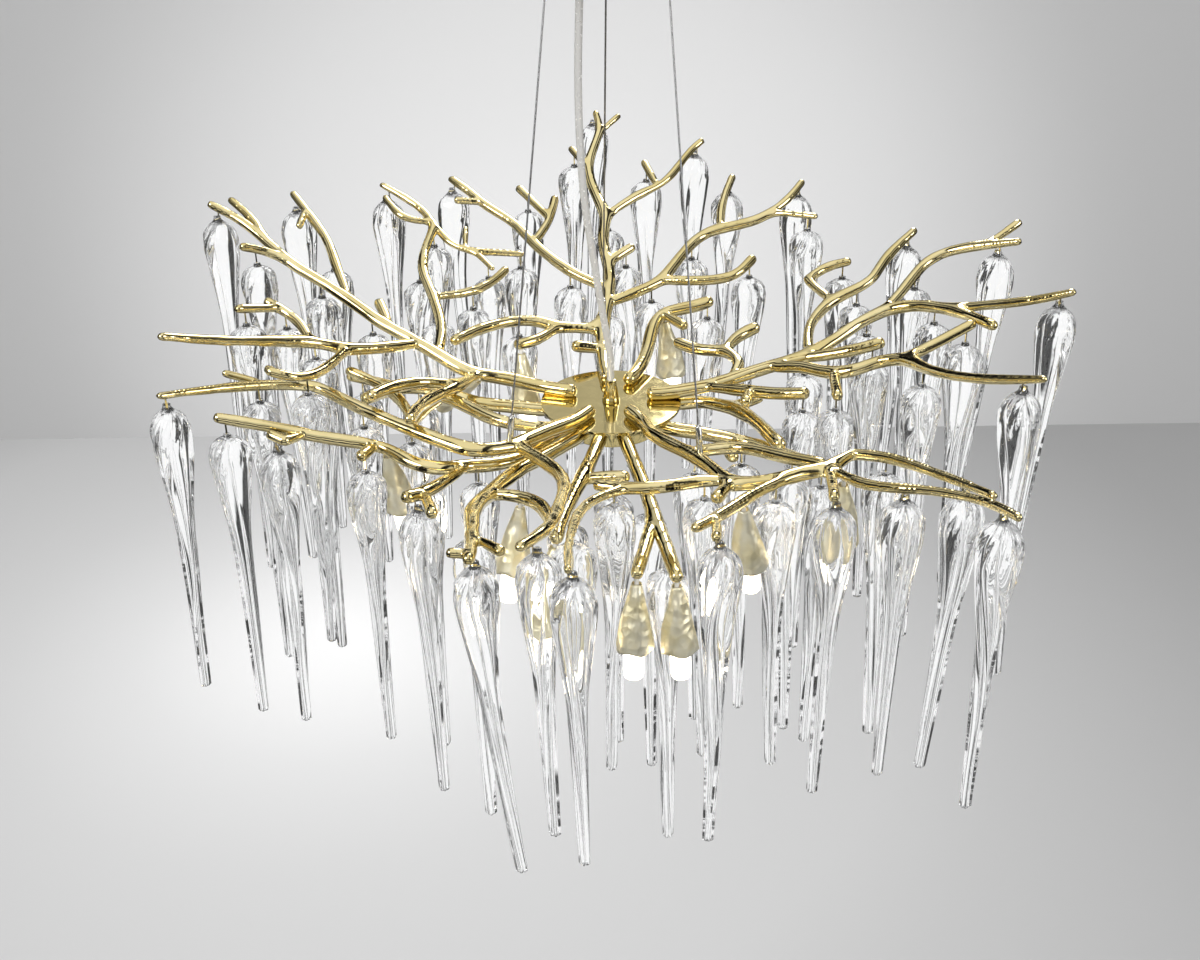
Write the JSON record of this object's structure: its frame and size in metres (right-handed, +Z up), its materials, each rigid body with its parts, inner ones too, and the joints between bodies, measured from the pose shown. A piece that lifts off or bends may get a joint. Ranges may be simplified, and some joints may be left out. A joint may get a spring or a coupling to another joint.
{
  "type": "branch chandelier",
  "caption": "Ceiling light of forked metal branches on a round hub plate, hung by wires, with hanging glass drops and small cone-shaded lamps.",
  "frame": {"origin": "centre of the ceiling face, where the ceiling cup and its bracket meet the ceiling", "axes": "+Z up, -Y towards the picture's viewer, +X to the viewer's right"},
  "size_m": [0.7388, 0.804, 0.6702],
  "materials": {
    "gold": "mirror-polished pale gold plating",
    "branch_gold": "polished pale gold plating on cast branches",
    "hammered_gold": "hammered, pale gold plating",
    "zinc_steel": "zinc plated",
    "screw_steel": "bright plated",
    "wire_steel": "drawn steel wire",
    "hook_wire": "bright wire",
    "block_plastic": "moulded",
    "clear_plastic": "clear, glossy",
    "drop_glass": "clear lobed glass",
    "lamp_ceramic": "glazed ceramic",
    "lamp_glass": "frosted"
  },
  "bodies": {
    "fixture": {"ceiling_bracket": "zinc_steel", "terminal_block": "block_plastic", "canopy_cup": "gold", "canopy_screws": "screw_steel", "cord_grip": "clear_plastic", "wire_grippers": "screw_steel", "suspension_wires": "wire_steel", "wire_couplings": "screw_steel", "power_cord": "clear_plastic", "cord_gland": "gold", "hub_plate": "gold", "hub_drum": "gold", "hub_nipple": "zinc_steel", "hub_nut": "gold", "bough_screws": "screw_steel", "drop_hooks": "hook_wire", "lamp_shades": "hammered_gold", "lamp_sockets": "lamp_ceramic", "lamp_capsules": "lamp_glass", "bough_left": "branch_gold", "bough_right": "branch_gold", "bough_back_right": "branch_gold", "bough_back": "branch_gold", "bough_front_left": "branch_gold", "bough_front_right": "branch_gold", "lower_left": "branch_gold", "lower_front_left": "branch_gold", "lower_front": "branch_gold", "lower_lamp_left": "branch_gold", "lower_lamp_right": "branch_gold", "lower_right": "branch_gold", "lower_front_right": "branch_gold", "fixed_drops_left": "drop_glass", "fixed_drops_back": "drop_glass", "fixed_drops_right": "drop_glass", "fixed_drops_front": "drop_glass"},
    "drop_01": {"drop_01": "drop_glass"},
    "drop_02": {"drop_02": "drop_glass"},
    "drop_03": {"drop_03": "drop_glass"},
    "drop_04": {"drop_04": "drop_glass"},
    "drop_05": {"drop_05": "drop_glass"},
    "drop_06": {"drop_06": "drop_glass"},
    "drop_07": {"drop_07": "drop_glass"},
    "drop_08": {"drop_08": "drop_glass"},
    "drop_09": {"drop_09": "drop_glass"},
    "drop_10": {"drop_10": "drop_glass"},
    "drop_11": {"drop_11": "drop_glass"},
    "drop_12": {"drop_12": "drop_glass"},
    "drop_13": {"drop_13": "drop_glass"},
    "drop_14": {"drop_14": "drop_glass"},
    "drop_15": {"drop_15": "drop_glass"},
    "drop_16": {"drop_16": "drop_glass"},
    "drop_17": {"drop_17": "drop_glass"},
    "drop_18": {"drop_18": "drop_glass"},
    "drop_19": {"drop_19": "drop_glass"},
    "drop_20": {"drop_20": "drop_glass"},
    "drop_21": {"drop_21": "drop_glass"},
    "drop_22": {"drop_22": "drop_glass"},
    "drop_23": {"drop_23": "drop_glass"}
  },
  "joints": [
    {"name": "drop_01_swing", "type": "hinge", "parent": "fixture", "child": "drop_01", "pos_m": [-0.34358, -0.12215, -0.3396], "axis": [0.3277, -0.9448, 0], "range_deg": [-6, 6]},
    {"name": "drop_02_swing", "type": "hinge", "parent": "fixture", "child": "drop_02", "pos_m": [-0.35299, 0.14682, -0.28489], "axis": [-0.3908, -0.9205, 0], "range_deg": [-6, 6]},
    {"name": "drop_03_swing", "type": "hinge", "parent": "fixture", "child": "drop_03", "pos_m": [-0.29202, 0.20291, -0.29718], "axis": [-0.5771, -0.8167, 0], "range_deg": [-6, 6]},
    {"name": "drop_04_swing", "type": "hinge", "parent": "fixture", "child": "drop_04", "pos_m": [-0.21378, 0.25944, -0.30713], "axis": [-0.777, -0.6295, 0], "range_deg": [-6, 6]},
    {"name": "drop_05_swing", "type": "hinge", "parent": "fixture", "child": "drop_05", "pos_m": [-0.15329, 0.29172, -0.31126], "axis": [-0.8891, -0.4576, 0], "range_deg": [-6, 6]},
    {"name": "drop_06_swing", "type": "hinge", "parent": "fixture", "child": "drop_06", "pos_m": [-0.0122, 0.39753, -0.27586], "axis": [-0.9997, -0.0236, 0], "range_deg": [-6, 6]},
    {"name": "drop_07_swing", "type": "hinge", "parent": "fixture", "child": "drop_07", "pos_m": [0.0903, 0.34872, -0.29494], "axis": [-0.9661, 0.2582, 0], "range_deg": [-6, 6]},
    {"name": "drop_08_swing", "type": "hinge", "parent": "fixture", "child": "drop_08", "pos_m": [0.12062, 0.29568, -0.31656], "axis": [-0.9226, 0.3858, 0], "range_deg": [-6, 6]},
    {"name": "drop_09_swing", "type": "hinge", "parent": "fixture", "child": "drop_09", "pos_m": [0.18651, 0.26961, -0.31145], "axis": [-0.8175, 0.5759, 0], "range_deg": [-6, 6]},
    {"name": "drop_10_swing", "type": "hinge", "parent": "fixture", "child": "drop_10", "pos_m": [0.27308, 0.14907, -0.31972], "axis": [-0.4712, 0.882, 0], "range_deg": [-6, 6]},
    {"name": "drop_11_swing", "type": "hinge", "parent": "fixture", "child": "drop_11", "pos_m": [0.33899, 0.07863, -0.30128], "axis": [-0.2181, 0.9759, 0], "range_deg": [-6, 6]},
    {"name": "drop_12_swing", "type": "hinge", "parent": "fixture", "child": "drop_12", "pos_m": [0.35722, -0.05123, -0.29484], "axis": [0.1496, 0.9887, 0], "range_deg": [-6, 6]},
    {"name": "drop_13_swing", "type": "hinge", "parent": "fixture", "child": "drop_13", "pos_m": [0.29377, -0.19608, -0.29828], "axis": [0.5617, 0.8273, 0], "range_deg": [-6, 6]},
    {"name": "drop_14_swing", "type": "hinge", "parent": "fixture", "child": "drop_14", "pos_m": [0.25075, -0.33233, -0.3237], "axis": [0.8023, 0.5969, 0], "range_deg": [-6, 6]},
    {"name": "drop_15_swing", "type": "hinge", "parent": "fixture", "child": "drop_15", "pos_m": [0.2411, -0.27015, -0.34027], "axis": [0.7512, 0.6601, 0], "range_deg": [-6, 6]},
    {"name": "drop_16_swing", "type": "hinge", "parent": "fixture", "child": "drop_16", "pos_m": [0.20148, -0.26206, -0.34872], "axis": [0.7979, 0.6028, 0], "range_deg": [-6, 6]},
    {"name": "drop_17_swing", "type": "hinge", "parent": "fixture", "child": "drop_17", "pos_m": [0.15501, -0.25798, -0.3565], "axis": [0.8619, 0.507, 0], "range_deg": [-6, 6]},
    {"name": "drop_18_swing", "type": "hinge", "parent": "fixture", "child": "drop_18", "pos_m": [0.06874, -0.32024, -0.34891], "axis": [0.9795, 0.2015, 0], "range_deg": [-6, 6]},
    {"name": "drop_19_swing", "type": "hinge", "parent": "fixture", "child": "drop_19", "pos_m": [-0.02851, -0.37643, -0.3348], "axis": [0.9966, -0.0829, 0], "range_deg": [-6, 6]},
    {"name": "drop_20_swing", "type": "hinge", "parent": "fixture", "child": "drop_20", "pos_m": [-0.09462, -0.32161, -0.36055], "axis": [0.957, -0.2903, 0], "range_deg": [-6, 6]},
    {"name": "drop_21_swing", "type": "hinge", "parent": "fixture", "child": "drop_21", "pos_m": [-0.05244, -0.32806, -0.34698], "axis": [0.9861, -0.1662, 0], "range_deg": [-6, 6]},
    {"name": "drop_22_swing", "type": "hinge", "parent": "fixture", "child": "drop_22", "pos_m": [-0.14493, -0.20564, -0.38489], "axis": [0.8109, -0.5851, 0], "range_deg": [-6, 6]},
    {"name": "drop_23_swing", "type": "hinge", "parent": "fixture", "child": "drop_23", "pos_m": [-0.26016, -0.13231, -0.37263], "axis": [0.4447, -0.8957, 0], "range_deg": [-6, 6]}
  ]
}
